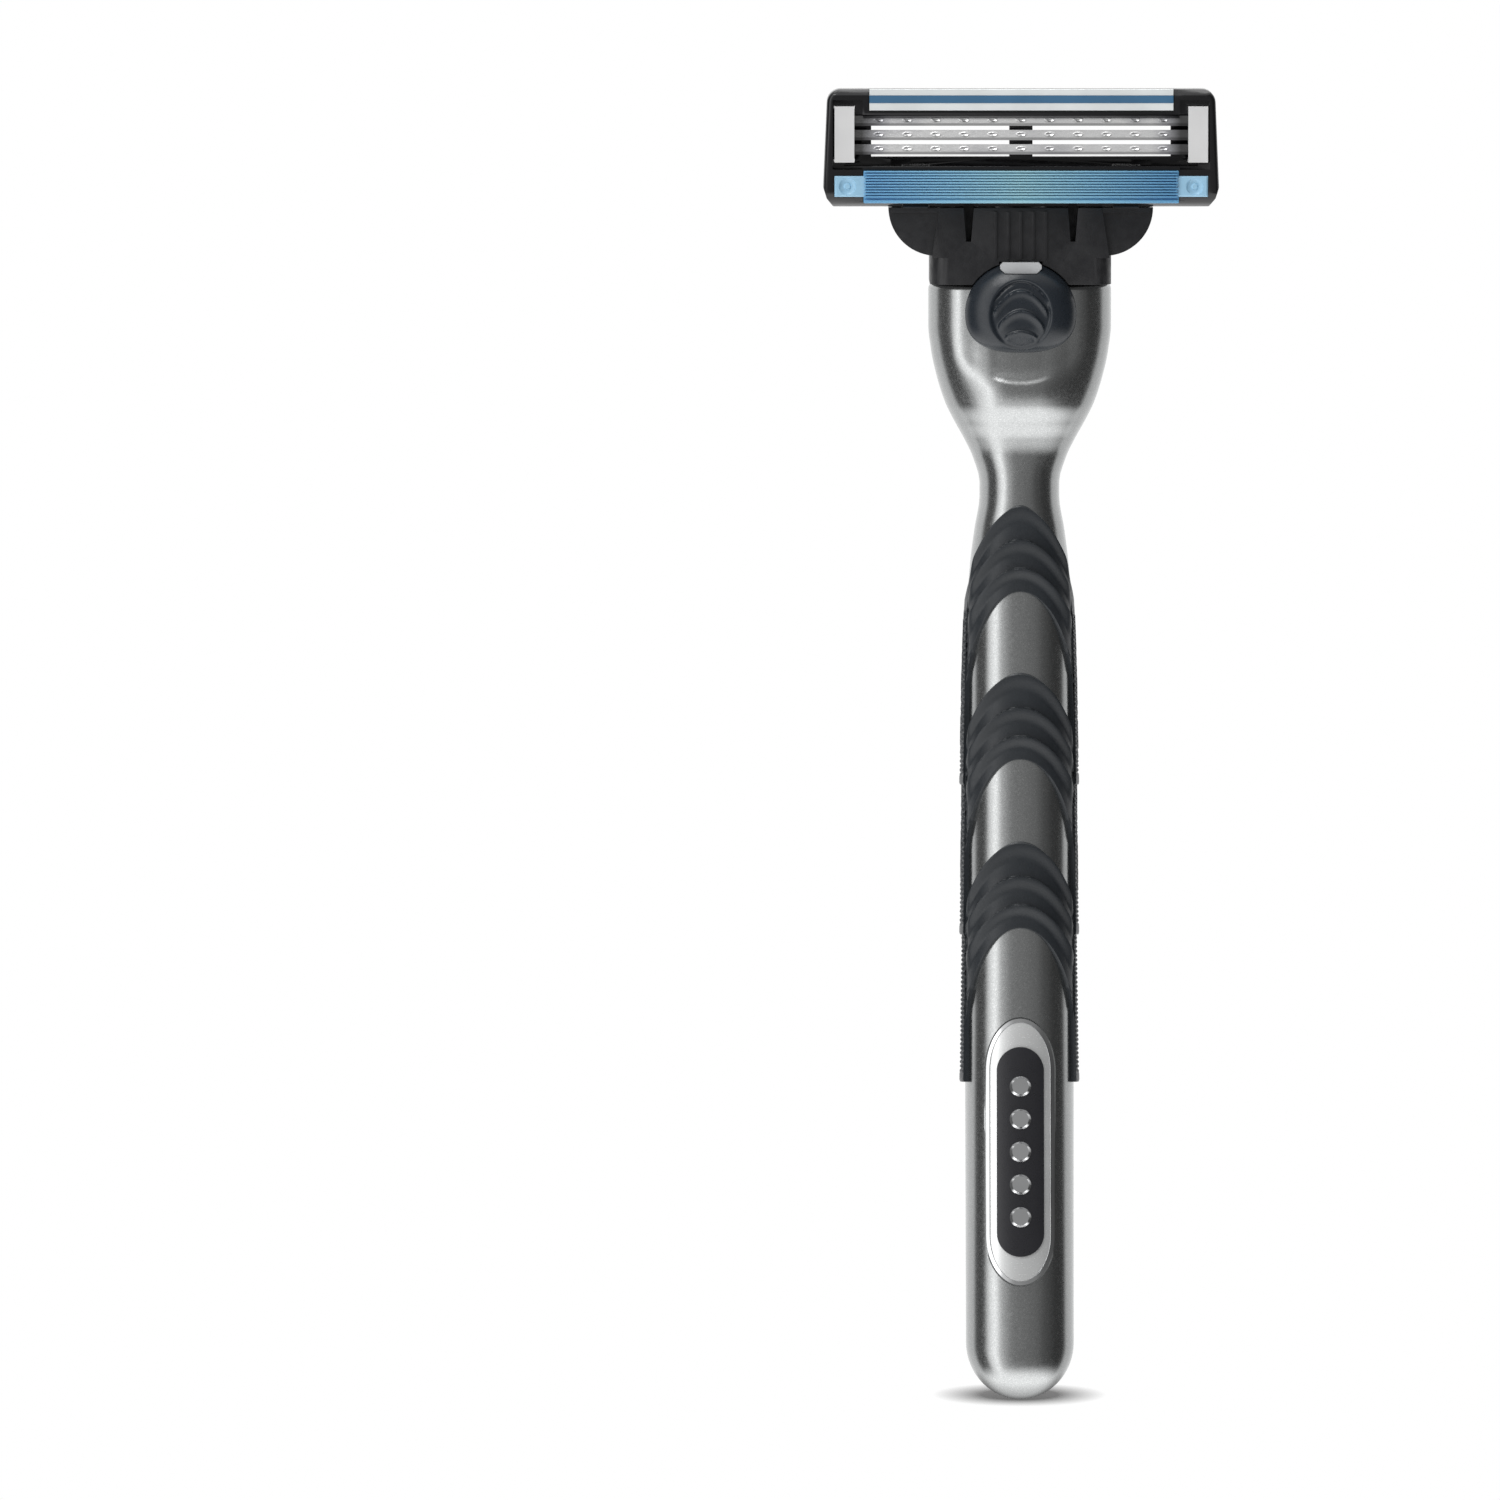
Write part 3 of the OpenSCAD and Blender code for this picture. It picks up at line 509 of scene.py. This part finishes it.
ARCH_W, ARCH_H = 5.8, 12.6          # the arched upper edge of a grip
LIP_W, LIP_H = 6.15, 12.0           # the arched lips below it
PANE_W, PANE_H = 5.3, 11.0          # the arched window below those
LIPS = (3.55, 6.5)                  # how far the lips lie below the upper edge, at the middle
BROW = 9.0                          # and how far the window does
SCALE_H = 0.5                       # how far a lip stands out
SCALE_L = 4.2                       # longest slope under a lip
KNURL, KNURL_SLOPE = 0.92, 0.62     # pitch of the crossed lines, and how much they slant
KNURL_R = 5.9                       # radius that the slant is laid out on
GRIP_W, GRIP_POWER = METAL[2, 1], 0.87
NO_ARCH = 200.0                     # drop of an arch outside its width
SHELL_T, SHELL_IN = 0.06, -0.15     # thinnest rubber, and its inner face under the metal's

# upper edge at the middle, upper edge at the sides and lower edge
GRIPS = {"grip_upper": (92.8, 80.0, 63.8), "grip_middle": (75.4, 63.75, 48.2),
         "grip_lower": (57.9, 48.15, 32.9)}


def arch_drop(x, w, h):
    """How far an arch of half width w and height h lies below its top."""
    inside = np.clip(1 - (x / w) ** 2, 0, 1)
    return np.where(np.abs(x) < w, h * (1 - np.sqrt(inside)), NO_ARCH)


def scale_profile(p):
    """One scale of a grip, from 0 at its upper edge to 1: a crisp lip, then a slope inward."""
    return SCALE_H * ease(p / 0.05) * (1 - 0.92 * ease((p - 0.02) / 0.55))


def grip_height(x, z, angle, zs):
    """Thickness of a grip over the metal: scales at the front, knurled sides and back."""
    top, shoulder, end = zs
    edges = [top - arch_drop(x, ARCH_W, ARCH_H)]
    edges += [top - lip - arch_drop(x, LIP_W, LIP_H) for lip in LIPS]
    edges += [top - BROW - arch_drop(x, PANE_W, PANE_H)]
    ridge = np.zeros_like(z)
    for upper, lower in zip(edges[:-1], edges[1:]):
        lower = np.maximum(lower, upper - SCALE_L)
        p = (upper - z) / np.maximum(upper - lower, 0.5)
        ridge = np.where((p >= 0) & (p < 1), scale_profile(p), ridge)
    front = np.sin(angle) < 0
    ridge *= front * (1 - ease((np.abs(x) - 4.6) / 0.9))
    base = 0.16 + 0.44 * (top - z) / (top - end)
    side = ease((np.abs(x) - 5.0) / 0.25) * ease((shoulder + 2.5 - z) / 1.5)
    side = np.where(front, side, ease((shoulder - 0.9 - z) / 0.6))
    side = side * ease((z - end - 0.8) / 0.5)
    slant = angle * KNURL_R * KNURL_SLOPE
    knurl = (np.abs(np.sin(math.pi * (z + slant) / KNURL))
             * np.abs(np.sin(math.pi * (z - slant) / KNURL)))
    edge = ease((z - end) / 0.25) * 0.12 + 0.88
    return (base * edge) * (1 - 0.25 * side) + side * 0.3 * (knurl - 0.5) + ridge


def build_grip(name):
    """A closed rubber sleeve with an open window at the front."""
    zs = GRIPS[name]
    top, shoulder, end = zs
    cols, rows = 232, 132
    angles = (np.arange(cols) + 0.5) * 2 * math.pi / cols
    x = GRIP_W * signed_power(np.cos(angles), GRIP_POWER)
    front = np.sin(angles) < 0
    high = np.where(front, np.maximum(shoulder, top - arch_drop(x, ARCH_W, ARCH_H)), shoulder)
    low = np.where(front, np.maximum(end, top - BROW - arch_drop(x, PANE_W, PANE_H)), end)
    t = np.linspace(0, 1, rows)[:, None]
    z = low[None, :] + (high - low)[None, :] * t
    angle = np.broadcast_to(angles[None, :], z.shape)
    thick = np.maximum(grip_height(np.broadcast_to(x[None, :], z.shape), z, angle, zs), SHELL_T)
    outer = skin(angle, z, thick)
    inner = skin(angle, z, SHELL_IN)[::-1]
    grid = np.concatenate([outer, inner])
    faces = grid_faces(2 * rows, cols, closed_rows=True)
    grip = new_object(name + "_skin", grid.reshape(-1, 3), faces, sharp=48)
    ride(grip, "handle", [name], "grip_rubber")


# ---------------------------------------------------------------- button

BUTTON_TOP, BUTTON_LOW, BUTTON_W, BUTTON_MID = 2.5, -6.9, 5.76, -2.7
BUTTON_BACK, BUTTON_FRONT = -6.35, -8.9
DISH_MID, DISH_W, DISH_H = -2.95, 3.25, 3.7
# apex height, radius of the arc, half width and how far it stands out
BUTTON_ARCS = ((0.3, 1.9, 3.0, 0.16), (-0.42, 1.72, 2.9, 0.34),
               (-2.46, 1.74, 2.4, 0.34), (-4.66, 2.4, 1.75, 0.30))
NOTCH = ((-1.68, 1.28), (1.68, 1.28), (2.22, 1.82), (2.22, 6), (-2.22, 6), (-2.22, 1.82))


def build_button_pad():
    """A dark rubber dome with a dished middle, raised arcs and a notch in its upper edge."""
    rings, cols = 72, 144
    a = np.arange(cols) * 2 * math.pi / cols
    k = np.sin(np.linspace(0, math.pi / 2, rings))[:, None]
    below = np.sin(a) < 0
    square = np.where(below, 2 / 2.6, 1.0)
    reach = np.where(below, BUTTON_MID - BUTTON_LOW, BUTTON_TOP - BUTTON_MID)
    ex = -BUTTON_W * signed_power(np.cos(a), square)
    ez = reach * signed_power(np.sin(a), square)
    x = k * ex[None, :]
    z = BUTTON_MID + k * ez[None, :]
    depth = BUTTON_BACK - BUTTON_FRONT
    y = BUTTON_FRONT + depth * (1 - (1 - k ** 2.7) ** 0.62) + 0 * x
    r = np.sqrt((x / DISH_W) ** 2 + ((z - DISH_MID) / DISH_H) ** 2)
    inside = 1 - ease((r - 0.86) / 0.16)
    y = y + inside * (0.34 + 0.22 * ease((z - DISH_MID + 2.5) / 6))
    for apex, radius, width, height in BUTTON_ARCS:
        off = z - (apex - x * x / (2 * radius))
        ridge = np.where(off > 0, np.exp(-(off / 0.12) ** 2), np.exp(-(off / 0.62) ** 2))
        y = y - height * ridge * (1 - ease((np.abs(x) - width + 0.4) / 0.5))
    dome = head_points(np.stack([x, y, z], axis=-1))
    skirt_y = np.full(cols, BUTTON_BACK + 0.3)
    skirt = head_points(np.stack([ex * 0.97, skirt_y, BUTTON_MID + ez * 0.97], axis=-1))[None]
    grid = np.concatenate([dome, skirt])
    faces = grid_faces(rings + 1, cols)
    faces.append(tuple(rings * cols + c for c in range(cols)))
    pad = new_object("button_rubber_pad", grid.reshape(-1, 3), faces, sharp=50)
    cut(pad, prism("notch", head_points([(x, y, z) for y in (-4, -12) for x, z in NOTCH])))
    ride(pad, "button", ["button_pad"], "button_rubber")


# ---------------------------------------------------------------- cartridge

FACE_Y, RIM_Z, UNIT_TOP = -8.45, 8.25, 20.45    # front, lower rim and top of the housing
BLADE_BODIES = ("blade_top", "blade_middle", "blade_bottom")
BLADE_L, BLADE_H, BLADE_T, BLADE_TILT = 36.4, 1.1, 0.1, math.radians(21)
EDGE_Y, EDGE_Z = FACE_Y + 0.2, UNIT_TOP - 3.75      # the upper blade's edge
BLADE_PITCH = 1.48
HONE_H = 0.28                                       # height of the ground part
WELDS, WELD_PITCH, WELD_H = 11, 2.94, 0.62


def build_blade(k):
    """Blade k, from 0: its honed edge is at the bottom and a row of spot welds runs along it."""
    cols, rows = 365, 23
    x = np.linspace(-BLADE_L / 2, BLADE_L / 2, cols)[None, :]
    h = np.linspace(0, BLADE_H, rows)[:, None]
    hone = 0.5 * BLADE_T * (1 - ease(h / HONE_H)) + 0 * x
    front = hone
    for n in range(WELDS):
        at = (n - (WELDS - 1) / 2) * WELD_PITCH
        r = np.sqrt(((x - at) / 0.30) ** 2 + ((h - WELD_H) / 0.15) ** 2)
        front = front + 0.045 * np.exp(-r ** 4) - 0.02 * np.exp(-((r - 1.25) / 0.3) ** 2)
    c, s = math.cos(BLADE_TILT), math.sin(BLADE_TILT)
    low = EDGE_Z - k * BLADE_PITCH
    sheets = [np.stack([x + 0 * h, EDGE_Y + y * c + h * s, low - y * s + h * c], axis=-1)
              for y in (front, BLADE_T - hone)]
    grid = np.concatenate([sheets[0], sheets[1][::-1]])
    faces = grid_faces(2 * rows, cols, closed_cols=False, closed_rows=True)
    for end in (0, cols - 1):
        side = [r * cols + end for r in range(2 * rows)]
        faces += [(side[r], side[r + 1], side[-r - 2], side[-r - 1]) for r in range(rows - 1)]
    blade = new_object(f"blade_{k + 1}_strip", head_points(grid).reshape(-1, 3), faces, sharp=30)
    ride(blade, BLADE_BODIES[k], [f"blade_{k + 1}"], "blade_steel")


FIN_COUNT, FIN_PITCH, FIN_T, FIN_H = 10, 0.29, 0.15, 0.4
GUARD_Y = FACE_Y - 0.1
GUARD_W, GUARD_LOW, GUARD_TOP = 16.3, RIM_Z + 0.45, RIM_Z + 3.8
PAD_X, PAD_LOW, PAD_HIGH = (16.2, 19.3), RIM_Z + 1.1, RIM_Z + 3.25
DIMPLE_X, DIMPLE_R, DIMPLE_IN = 17.95, 0.88, 0.3
BOSS_R, BOSS_OUT = 0.22, 0.16


def build_guard():
    """The elastomer guard: a ribbed face with round-edged fins, every second one shorter."""
    parts = [rounded_box("guard_base", (-GUARD_W, GUARD_Y, GUARD_LOW),
                         (GUARD_W, FACE_Y + 0.7, GUARD_TOP), 0.06)]
    for k in range(FIN_COUNT):
        top = GUARD_TOP - k * FIN_PITCH
        end = GUARD_W - 0.05 - 0.11 * (k % 2)
        parts.append(rounded_box("fin", (-end, GUARD_Y - FIN_H, top - FIN_T),
                                 (end, GUARD_Y + 0.1, top), 0.055, 2))
    parts.append(rounded_box("band", (-GUARD_W, GUARD_Y - 0.3, GUARD_LOW),
                             (GUARD_W, GUARD_Y + 0.1, GUARD_LOW + 0.32), 0.1))
    guard = joined("guard_elastomer_fins", parts)
    guard.data.transform(head_matrix())
    ride(guard, "blade_unit", ["guard_fins"], "guard_elastomer")


def build_guard_pad(name, side):
    """A paler pad at the guard's end, with a round dimple and a small boss in it."""
    cols, rows = 97, 73
    x = np.linspace(PAD_X[0] - 0.2, PAD_X[1], cols)[None, :]
    z = np.linspace(PAD_LOW, PAD_HIGH, rows)[:, None]
    edge = np.minimum(np.minimum(x - PAD_X[0] + 0.3, PAD_X[1] - x),
                      np.minimum(z - PAD_LOW, PAD_HIGH - z))
    y = FACE_Y - 0.2 + 0.14 * (1 - ease(edge / 0.16)) + 0 * x
    r = np.sqrt((x - DIMPLE_X) ** 2 + (z - (PAD_LOW + PAD_HIGH) / 2) ** 2)
    y = y + DIMPLE_IN * np.sqrt(np.clip(1 - (r / DIMPLE_R) ** 2, 0, 1))
    y = y - BOSS_OUT * (1 - ease((r - BOSS_R) / 0.16))
    face = np.stack([side * (x + 0 * z), y, z + 0 * x], axis=-1)
    back = face.copy()
    back[..., 1] = FACE_Y + 0.4
    grid = np.concatenate([face, back])
    n = rows * cols
    faces = grid_faces(rows, cols, closed_cols=False)
    faces += [tuple(n + i for i in f) for f in faces]
    rim = (list(range(cols)) + [r * cols + cols - 1 for r in range(1, rows)]
           + [(rows - 1) * cols + c for c in range(cols - 2, -1, -1)]
           + [r * cols for r in range(rows - 2, 0, -1)])
    faces += [(i, j, n + j, n + i) for i, j in zip(rim, rim[1:] + rim[:1])]
    pad = new_object(name, head_points(grid).reshape(-1, 3), faces, sharp=60)
    ride(pad, "blade_unit", ["guard_fins"], "guard_pad")


HOUSING_SOFT, HOUSING_CORNER, HOUSING_BACK = 0.55, 1.4, 1.5
HOUSING_W_TOP, HOUSING_W_LOW = 20.1, 20.5


def build_housing():
    """The housing with its outer front edge well rounded: its mesh, cut by a soft-edged block."""
    housing = bare_copy("cartridge_housing", "housing_frame")
    rows = [(HOUSING_SOFT * (1 - math.sin(a)), HOUSING_SOFT * (1 - math.cos(a)))
            for a in np.linspace(math.pi / 2, 0, 7)]
    rows.append((HOUSING_BACK - FACE_Y, 0.0))
    grid = []
    for depth, inset in rows:
        ring = []
        for quarter, (sx, sz) in enumerate([(1, 1), (-1, 1), (-1, -1), (1, -1)]):
            half, edge = (HOUSING_W_TOP, UNIT_TOP) if sz > 0 else (HOUSING_W_LOW, RIM_Z)
            cx, cz = sx * (half - HOUSING_CORNER), edge - sz * HOUSING_CORNER
            r = HOUSING_CORNER - inset
            for a in np.linspace(0, math.pi / 2, 12) + quarter * math.pi / 2:
                ring.append((cx + r * math.cos(a), FACE_Y + depth, cz + r * math.sin(a)))
        grid.append(ring)
    cols = len(grid[0])
    n = len(grid) * cols
    faces = grid_faces(len(grid), cols)
    faces += [tuple(range(cols)), tuple(range(n - 1, n - cols - 1, -1))]
    cut(housing, new_object("soft_block", head_points(grid).reshape(-1, 3), faces), "INTERSECT")
    bevel(housing, 0.1)
    ride(housing, "blade_unit", ["cartridge_housing"], "housing_plastic")


WIDEST_ROUND = 0.5


def connector_round(a, b):
    """Width of rounding of the edge from a to b: the front block's top edge is the softest."""
    if max(a.y, b.y) < -6.4 and min(a.z, b.z) > 8.0:
        return 0.45
    if max(a.z, b.z) < 0.2 or (max(a.z, b.z) < 3.5 and min(a.z, b.z) > 3.3):
        return 0.3
    if max(a.y, b.y) < -5.8 and min(abs(a.x), abs(b.x)) > 8.3:
        return 0.28
    return 0.07


def build_connector():
    """The connecting member, its sharp edges rounded by a width that depends on where they are."""
    obj = bare_copy("connecting_member", "connector_collar")
    to_dock = head_matrix().inverted()
    work = bmesh.new()
    work.from_mesh(obj.data)
    weight = work.edges.layers.float.new("bevel_weight_edge")
    for edge in work.edges:
        if len(edge.link_faces) == 2 and edge.calc_face_angle() > math.radians(24):
            a, b = (to_dock @ v.co / MM for v in edge.verts)
            edge[weight] = connector_round(a, b) / WIDEST_ROUND
    work.to_mesh(obj.data)
    work.free()
    obj.data.shade_smooth()
    bevel(obj, WIDEST_ROUND, segments=4, limit="WEIGHT")
    ride(obj, "connector", ["connecting_member"], "connector_plastic")


def build_spring(node):
    """A coil spring, copied from its node onto the handle with a mesh of its own."""
    spring = bare_copy(node, f"{node}_coil")
    spring.data.shade_smooth()
    ride(spring, "handle", [node], "spring_steel")
    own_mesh(spring)


# ---------------------------------------------------------------- CAD nodes that stay

# node: its material, and the rounding of its sharp edges
KEPT = {
    "docking_nose": ("inner_plastic", None), "ejector_fork": ("light_plastic", 0.2),
    "ejector_button": ("inner_plastic", None), "plunger": ("inner_plastic", None),
    "clip_left": ("clip_aluminium", 0.07), "clip_right": ("clip_aluminium", 0.07),
    "lubricating_strip": ("strip_white", 0.12), "strip_core": ("strip_blue", 0.03),
    "badge_bezel": ("badge_chrome", 0.07), "badge_plate": ("badge_silver", 0.05),
    "badge_inlay": ("badge_dark", 0.05), "badge_emblem": ("badge_chrome", 0.3),
    "blade_support_1": ("support_steel", None), "blade_support_2": ("support_steel", None),
    "blade_support_3": ("support_steel", None),
}


# ---------------------------------------------------------------- stage

VIEW_CENTRE = Vector((-28.04, 0, 67.39)) * MM
VIEW_WIDTH = 155.76 * MM
CAMERA_AWAY = 1.6       # metres
SENSOR = 36.0

# light from all round: azimuth in degrees from the camera's side, and brightness
STUDIO = ((-114, 0.8), (-103, 0.10), (-74, 0.07), (-60, 1.25), (-44, 1.9), (-30, 0.62), (-8, 0.27),
          (20, 0.21), (48, 0.10), (72, 0.05), (101, 0.05), (112, 0.7))
LIGHT_ABOVE, LIGHT_BELOW = 1.0, 1.6
ABOVE_FROM, ABOVE_TO = 0.42, 0.9        # height of a direction, 1 being straight up
BELOW_FROM, BELOW_TO = -0.42, -0.82

# the painted shadow under the razor's end: a dark disc, its radius, place, tilt, alpha, squash and
# fade
SHADOW_R, SHADOW_Y, SHADOW_UP, SHADOW_TILT = 20, 3.5, 0.3, math.radians(7)
SHADOW_ALPHA, SHADOW_SQUASH, SHADOW_FADE = 0.85, 1.2, (0.004, 0.009)


def build_camera():
    data = bpy.data.cameras.new("camera")
    data.sensor_width = SENSOR
    data.lens = SENSOR * CAMERA_AWAY / VIEW_WIDTH
    data.clip_end = 20
    camera = linked("camera", data)
    camera.location = VIEW_CENTRE - Vector((0, CAMERA_AWAY, 0))
    camera.rotation_euler = (math.radians(90), 0, 0)
    bpy.context.scene.camera = camera


def build_world():
    """A white studio with dark cards and a soft box, set by the direction that light comes from."""
    world = bpy.data.worlds.new("studio")
    bpy.context.scene.world = world
    world.use_nodes = True
    tree = world.node_tree
    coords = tree.nodes.new("ShaderNodeTexCoord").outputs["Generated"]
    split = wired(tree, "ShaderNodeSeparateXYZ", coords)

    def height(low, high):
        """0 for directions at the height low, 1 for those at high."""
        return wired(tree, "ShaderNodeMapRange", split.outputs["Z"], low, high,
                     interpolation_type="SMOOTHSTEP").outputs["Result"]

    def blend(factor, a, grey):
        """From the colour a to a grey, as the factor goes from 0 to 1."""
        node = tree.nodes.new("ShaderNodeMix")
        node.data_type = "RGBA"
        tree.links.new(factor, node.inputs["Factor"])
        tree.links.new(a, node.inputs["A"])
        node.inputs["B"].default_value = (grey, grey, grey, 1)
        return node.outputs["Result"]

    away = maths(tree, "MULTIPLY", split.outputs["Y"], -1.0)
    azimuth = maths(tree, "ARCTAN2", split.outputs["X"], away)
    turn = maths(tree, "ADD", maths(tree, "DIVIDE", azimuth, 2 * math.pi), 0.5)
    ramp = wired(tree, "ShaderNodeValToRGB", turn)
    ramp.color_ramp.interpolation = "EASE"
    elements = ramp.color_ramp.elements
    elements[0].position, elements[1].position = 0.0, 1.0
    elements[0].color = elements[1].color = (1, 1, 1, 1)
    for degrees, value in STUDIO:
        elements.new((degrees + 180) / 360).color = (value, value, value, 1)
    light = blend(height(ABOVE_FROM, ABOVE_TO), ramp.outputs["Color"], LIGHT_ABOVE)
    light = blend(height(BELOW_FROM, BELOW_TO), light, LIGHT_BELOW)
    seen = tree.nodes.new("ShaderNodeLightPath").outputs["Is Camera Ray"]
    tree.links.new(blend(seen, light, 1.0), tree.nodes["Background"].inputs["Color"])


def build_light(name, where, size, power, target=(0, 0, 80)):
    """A soft rectangular light, its place and size in millimetres."""
    data = bpy.data.lights.new(name, "AREA")
    data.shape = "RECTANGLE"
    data.size, data.size_y = size[0] * MM, size[1] * MM
    data.energy = power
    light = linked(name, data)
    light.location = Vector(where) * MM
    aim = Vector(target) * MM - light.location
    light.rotation_euler = aim.to_track_quat("-Z", "Y").to_euler()
    light.visible_camera = False


def build_painted_shadow():
    """A painted shadow: a soft dark disc under the razor's end, fading out into the white
    background.
    """
    work = bmesh.new()
    bmesh.ops.create_circle(work, cap_ends=True, segments=96, radius=SHADOW_R * MM)
    painted_shadow_disc = from_bmesh("painted_shadow_disc", work)
    painted_shadow_disc.location = (0, SHADOW_Y * MM, cad_box[0][2] + SHADOW_UP * MM)
    painted_shadow_disc.rotation_euler = (SHADOW_TILT, 0, 0)
    m = Nodes("painted_shadow_patch", Roughness=1.0)
    # painted shadow: a near-black colour, faded out by alpha away from its middle
    m.colours(m.noise(4, 2.0), [(0.3, (0.05, 0.045, 0.045)), (0.7, (0.07, 0.065, 0.065))])
    squash = wired(m.tree, "ShaderNodeVectorMath", m.coords, (1.0, SHADOW_SQUASH, 1.0),
                   operation="MULTIPLY")
    length = wired(m.tree, "ShaderNodeVectorMath", squash.outputs[0], operation="LENGTH")
    fade = m.remap(length.outputs["Value"], SHADOW_ALPHA, 0.0, source=SHADOW_FADE)
    m.tree.links.new(fade, m.shader.inputs["Alpha"])
    painted_shadow_disc.data.materials.append(m.material)


# ---------------------------------------------------------------- assembly

build_camera()
build_world()
build_light("key", (-160, -300, 520), (240, 240), 0.8)
build_light("top", (0, 60, 520), (300, 220), 0.6)
build_painted_shadow()
build_metal_body()
for grip_name in GRIPS:
    build_grip(grip_name)
build_button_pad()
for blade_number in range(len(BLADE_BODIES)):
    build_blade(blade_number)
build_guard()
build_guard_pad("guard_pad_left", -1)
build_guard_pad("guard_pad_right", 1)
build_housing()
build_spring("button_springs")
build_spring("plunger_spring")
build_connector()
for node_name, (material_name, rounding) in KEPT.items():
    paint(nodes[node_name], material_name)
    if rounding:
        bevel(nodes[node_name], rounding)
bpy.context.scene.view_settings.view_transform = "Standard"
